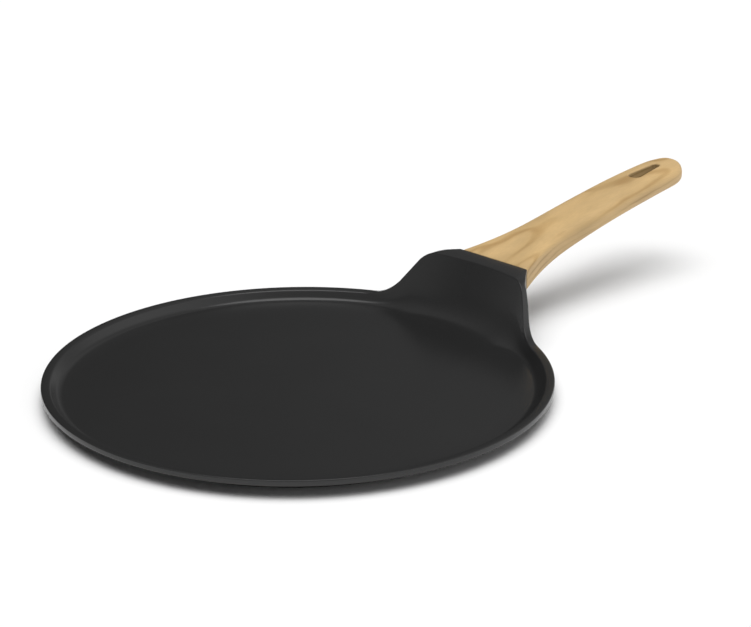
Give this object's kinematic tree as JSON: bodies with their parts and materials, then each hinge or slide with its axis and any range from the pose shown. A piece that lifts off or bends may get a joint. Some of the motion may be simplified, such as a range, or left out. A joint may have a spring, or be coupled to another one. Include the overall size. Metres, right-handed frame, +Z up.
{
  "type": "crepe pan",
  "caption": "Flat round crepe pan with a low rim, a raised shoulder behind the cooking surface and a light wooden handle with an oval hanging slot.",
  "frame": {"origin": "centre of the base, on the surface the pan stands on", "axes": "+Z up, +X from the centre of the pan along the handle"},
  "size_m": [0.468, 0.28, 0.0648],
  "materials": {
    "coated_casting": "satin black non-stick coating on die-cast aluminium",
    "base_steel": "brushed stainless",
    "handle_wood": "light wood, satin",
    "fastener_steel": "plain stainless"
  },
  "bodies": {
    "root": {"pan_body": "coated_casting", "induction_disc": "base_steel", "handle": "handle_wood", "fixing_screw": "fastener_steel", "flat_washer": "fastener_steel", "lock_washer": "fastener_steel"}
  },
  "joints": []
}
